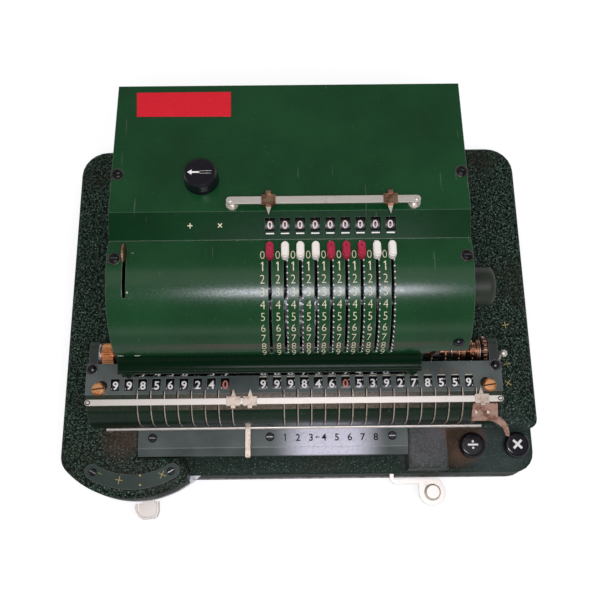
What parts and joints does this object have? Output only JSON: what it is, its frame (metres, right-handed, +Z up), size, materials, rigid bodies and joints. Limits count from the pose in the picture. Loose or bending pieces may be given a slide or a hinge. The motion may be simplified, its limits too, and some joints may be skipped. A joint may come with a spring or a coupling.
{
  "type": "mechanical calculator",
  "caption": "Electric desk calculating machine: broad cast base, drum-fronted cover with slotted setting levers and check windows, and a stepped sliding register carriage.",
  "frame": {"origin": "under the middle of the machine, on the surface it stands on; the axis of the drum front lies over it", "axes": "+X to the machine's right, +Y to its rear, +Z up"},
  "size_m": [0.3336, 0.276, 0.1818],
  "materials": {
    "crinkle_paint": "dark green-black crinkle paint on cast iron",
    "green_enamel": "smooth dark green stove enamel, semi-gloss",
    "grey_enamel": "grey-green satin enamel",
    "steel": "bright worked steel",
    "rubber": "matte black rubber",
    "nickel": "polished nickel plate",
    "warm_nickel": "worn nickel plate with the brass showing through",
    "copper": "polished copper alloy",
    "brass": "bare brass, slightly orange",
    "black_enamel": "black enamel",
    "black_plastic": "polished black moulding compound",
    "white_knob": "ivory-white moulded tip on a steel lever",
    "red_knob": "red moulded tip on a steel lever"
  },
  "bodies": {
    "base": {"base_casing": "crinkle_paint", "bottom_plate": "steel", "rubber_feet": "rubber", "top_cover": "green_enamel", "case_screws": "steel", "side_frames": "steel", "hub_cover": "black_enamel", "motor": "black_enamel", "cross_shafts": "steel", "carriage_rails": "nickel", "scale_rail": "grey_enamel", "sector_plate": "grey_enamel", "lever_guide": "steel", "pointer_rail": "nickel", "power_inlet": "black_plastic", "detent_comb": "steel"},
    "motor_pinion": {"motor_pinion": "steel"},
    "idler_gear": {"idler_gear": "steel"},
    "drive_shaft": {"drive_shaft": "steel", "drive_wheels": "steel"},
    "selector_knob": {"selector_knob": "black_plastic"},
    "left_marker": {"left_marker": "nickel"},
    "right_marker": {"right_marker": "nickel"},
    "clearing_lever": {"clearing_lever": "nickel"},
    "function_lever": {"function_lever": "nickel"},
    "shift_lever": {"shift_lever": "nickel"},
    "divide_key": {"divide_key": "black_plastic"},
    "multiply_key": {"multiply_key": "black_plastic"},
    "setting_lever_1": {"setting_lever_1": "white_knob"},
    "check_drum_1": {"check_drum_1": "black_enamel"},
    "setting_lever_2": {"setting_lever_2": "white_knob"},
    "check_drum_2": {"check_drum_2": "black_enamel"},
    "setting_lever_3": {"setting_lever_3": "red_knob"},
    "check_drum_3": {"check_drum_3": "black_enamel"},
    "setting_lever_4": {"setting_lever_4": "red_knob"},
    "check_drum_4": {"check_drum_4": "black_enamel"},
    "setting_lever_5": {"setting_lever_5": "red_knob"},
    "check_drum_5": {"check_drum_5": "black_enamel"},
    "setting_lever_6": {"setting_lever_6": "white_knob"},
    "check_drum_6": {"check_drum_6": "black_enamel"},
    "setting_lever_7": {"setting_lever_7": "white_knob"},
    "check_drum_7": {"check_drum_7": "black_enamel"},
    "setting_lever_8": {"setting_lever_8": "white_knob"},
    "check_drum_8": {"check_drum_8": "black_enamel"},
    "setting_lever_9": {"setting_lever_9": "red_knob"},
    "check_drum_9": {"check_drum_9": "black_enamel"},
    "carriage": {"carriage_frame": "crinkle_paint", "carriage_plate": "grey_enamel", "carriage_roll": "green_enamel", "decimal_bar": "nickel", "carriage_handle": "warm_nickel", "carriage_screws": "brass", "position_finger": "nickel"},
    "decimal_marker_1": {"decimal_marker_1": "nickel"},
    "decimal_marker_2": {"decimal_marker_2": "nickel"},
    "decimal_marker_3": {"decimal_marker_3": "nickel"},
    "release_lever": {"release_lever": "nickel"},
    "clearing_shaft": {"clearing_shaft": "copper"},
    "result_wheels": {"result_wheels": "black_enamel"},
    "counter_wheels": {"counter_wheels": "black_enamel"}
  },
  "joints": [
    {"name": "drive_spin", "type": "hinge", "parent": "base", "child": "drive_shaft", "pos_m": [0, 0.002, 0.092], "axis": [1, 0, 0], "continuous": true},
    {"name": "idler_spin", "type": "hinge", "parent": "base", "child": "idler_gear", "pos_m": [0.077, 0.0507, 0.08988], "axis": [1, 0, 0], "continuous": true},
    {"name": "motor_spin", "type": "hinge", "parent": "base", "child": "motor_pinion", "pos_m": [0.077, 0.0857, 0.08988], "axis": [1, 0, 0], "continuous": true},
    {"name": "selector_turn", "type": "hinge", "parent": "base", "child": "selector_knob", "pos_m": [-0.0585, 0.0545, 0.17178], "axis": [0, 0.0753, 0.9972], "range_deg": [-180, 0]},
    {"name": "left_marker_slide", "type": "slide", "parent": "base", "child": "left_marker", "axis": [1, 0, 0], "range_m": [-0.012, 0.03]},
    {"name": "right_marker_slide", "type": "slide", "parent": "base", "child": "right_marker", "axis": [1, 0, 0], "range_m": [-0.03, 0.008]},
    {"name": "clearing_swing", "type": "hinge", "parent": "base", "child": "clearing_lever", "pos_m": [-0.104, 0, 0.1256], "axis": [1, 0, 0], "range_deg": [0, 28]},
    {"name": "function_swing", "type": "hinge", "parent": "base", "child": "function_lever", "pos_m": [-0.1155, -0.06, 0.027], "axis": [0, 0, 1], "range_deg": [-31.8, 15.9]},
    {"name": "shift_swing", "type": "hinge", "parent": "base", "child": "shift_lever", "pos_m": [0.066, -0.097, 0.026], "axis": [0, 0, 1], "range_deg": [-10, 4], "stiffness_Nm_per_rad": 0.3},
    {"name": "divide_press", "type": "slide", "parent": "base", "child": "divide_key", "axis": [0, 0, 1], "range_m": [-0.004, 0], "stiffness_N_per_m": 300, "springref_m": 0.002},
    {"name": "multiply_press", "type": "slide", "parent": "base", "child": "multiply_key", "axis": [0, 0, 1], "range_m": [-0.004, 0], "stiffness_N_per_m": 300, "springref_m": 0.002},
    {"name": "setting_1", "type": "hinge", "parent": "base", "child": "setting_lever_1", "pos_m": [0.0547, 0, 0.1256], "axis": [1, 0, 0], "range_deg": [0, 85.41]},
    {"name": "check_turn_1", "type": "hinge", "parent": "base", "child": "check_drum_1", "pos_m": [0.0547, 0.02959, 0.15908], "axis": [1, 0, 0], "range_deg": [-324.1, 0]},
    {"name": "setting_2", "type": "hinge", "parent": "base", "child": "setting_lever_2", "pos_m": [0.0457, 0, 0.1256], "axis": [1, 0, 0], "range_deg": [0, 85.41]},
    {"name": "check_turn_2", "type": "hinge", "parent": "base", "child": "check_drum_2", "pos_m": [0.0457, 0.02959, 0.15908], "axis": [1, 0, 0], "range_deg": [-324.1, 0]},
    {"name": "setting_3", "type": "hinge", "parent": "base", "child": "setting_lever_3", "pos_m": [0.0367, 0, 0.1256], "axis": [1, 0, 0], "range_deg": [0, 85.41]},
    {"name": "check_turn_3", "type": "hinge", "parent": "base", "child": "check_drum_3", "pos_m": [0.0367, 0.02959, 0.15908], "axis": [1, 0, 0], "range_deg": [-324.1, 0]},
    {"name": "setting_4", "type": "hinge", "parent": "base", "child": "setting_lever_4", "pos_m": [0.0277, 0, 0.1256], "axis": [1, 0, 0], "range_deg": [0, 85.41]},
    {"name": "check_turn_4", "type": "hinge", "parent": "base", "child": "check_drum_4", "pos_m": [0.0277, 0.02959, 0.15908], "axis": [1, 0, 0], "range_deg": [-324.1, 0]},
    {"name": "setting_5", "type": "hinge", "parent": "base", "child": "setting_lever_5", "pos_m": [0.0187, 0, 0.1256], "axis": [1, 0, 0], "range_deg": [0, 85.41]},
    {"name": "check_turn_5", "type": "hinge", "parent": "base", "child": "check_drum_5", "pos_m": [0.0187, 0.02959, 0.15908], "axis": [1, 0, 0], "range_deg": [-324.1, 0]},
    {"name": "setting_6", "type": "hinge", "parent": "base", "child": "setting_lever_6", "pos_m": [0.0097, 0, 0.1256], "axis": [1, 0, 0], "range_deg": [0, 85.41]},
    {"name": "check_turn_6", "type": "hinge", "parent": "base", "child": "check_drum_6", "pos_m": [0.0097, 0.02959, 0.15908], "axis": [1, 0, 0], "range_deg": [-324.1, 0]},
    {"name": "setting_7", "type": "hinge", "parent": "base", "child": "setting_lever_7", "pos_m": [0.0007, 0, 0.1256], "axis": [1, 0, 0], "range_deg": [0, 85.41]},
    {"name": "check_turn_7", "type": "hinge", "parent": "base", "child": "check_drum_7", "pos_m": [0.0007, 0.02959, 0.15908], "axis": [1, 0, 0], "range_deg": [-324.1, 0]},
    {"name": "setting_8", "type": "hinge", "parent": "base", "child": "setting_lever_8", "pos_m": [-0.0083, 0, 0.1256], "axis": [1, 0, 0], "range_deg": [0, 85.41]},
    {"name": "check_turn_8", "type": "hinge", "parent": "base", "child": "check_drum_8", "pos_m": [-0.0083, 0.02959, 0.15908], "axis": [1, 0, 0], "range_deg": [-324.1, 0]},
    {"name": "setting_9", "type": "hinge", "parent": "base", "child": "setting_lever_9", "pos_m": [-0.0173, 0, 0.1256], "axis": [1, 0, 0], "range_deg": [0, 85.41]},
    {"name": "check_turn_9", "type": "hinge", "parent": "base", "child": "check_drum_9", "pos_m": [-0.0173, 0.02959, 0.15908], "axis": [1, 0, 0], "range_deg": [-324.1, 0]},
    {"name": "carriage_shift", "type": "slide", "parent": "base", "child": "carriage", "axis": [1, 0, 0], "range_m": [-0.054, 0.009]},
    {"name": "decimal_slide_1", "type": "slide", "parent": "carriage", "child": "decimal_marker_1", "axis": [1, 0, 0], "range_m": [-0.08, 0]},
    {"name": "decimal_slide_2", "type": "slide", "parent": "carriage", "child": "decimal_marker_2", "axis": [1, 0, 0], "range_m": [0, 0.07]},
    {"name": "decimal_slide_3", "type": "slide", "parent": "carriage", "child": "decimal_marker_3", "axis": [1, 0, 0], "range_m": [-0.07, 0]},
    {"name": "release_swing", "type": "hinge", "parent": "carriage", "child": "release_lever", "pos_m": [0.133, -0.04, 0.074], "axis": [1, 0, 0], "range_deg": [0, 14], "stiffness_Nm_per_rad": 0.02, "springref_deg": -11.46},
    {"name": "clearing_shaft_spin", "type": "hinge", "parent": "carriage", "child": "clearing_shaft", "pos_m": [0, -0.033, 0.088], "axis": [1, 0, 0], "continuous": true},
    {"name": "result_clear", "type": "hinge", "parent": "carriage", "child": "result_wheels", "pos_m": [0, -0.0551, 0.0797], "axis": [1, 0, 0], "range_deg": [-324, 0]},
    {"name": "counter_clear", "type": "hinge", "parent": "carriage", "child": "counter_wheels", "pos_m": [0, -0.0551, 0.0797], "axis": [1, 0, 0], "range_deg": [-324, 0]}
  ],
  "couplings": [
    {"joint": "idler_spin", "follows": "drive_spin", "ratio": -0.77273},
    {"joint": "motor_spin", "follows": "drive_spin", "ratio": 2.8333},
    {"joint": "check_turn_1", "follows": "setting_1", "ratio": -3.7935},
    {"joint": "check_turn_2", "follows": "setting_2", "ratio": -3.7935},
    {"joint": "check_turn_3", "follows": "setting_3", "ratio": -3.7935},
    {"joint": "check_turn_4", "follows": "setting_4", "ratio": -3.7935},
    {"joint": "check_turn_5", "follows": "setting_5", "ratio": -3.7935},
    {"joint": "check_turn_6", "follows": "setting_6", "ratio": -3.7935},
    {"joint": "check_turn_7", "follows": "setting_7", "ratio": -3.7935},
    {"joint": "check_turn_8", "follows": "setting_8", "ratio": -3.7935},
    {"joint": "check_turn_9", "follows": "setting_9", "ratio": -3.7935}
  ]
}
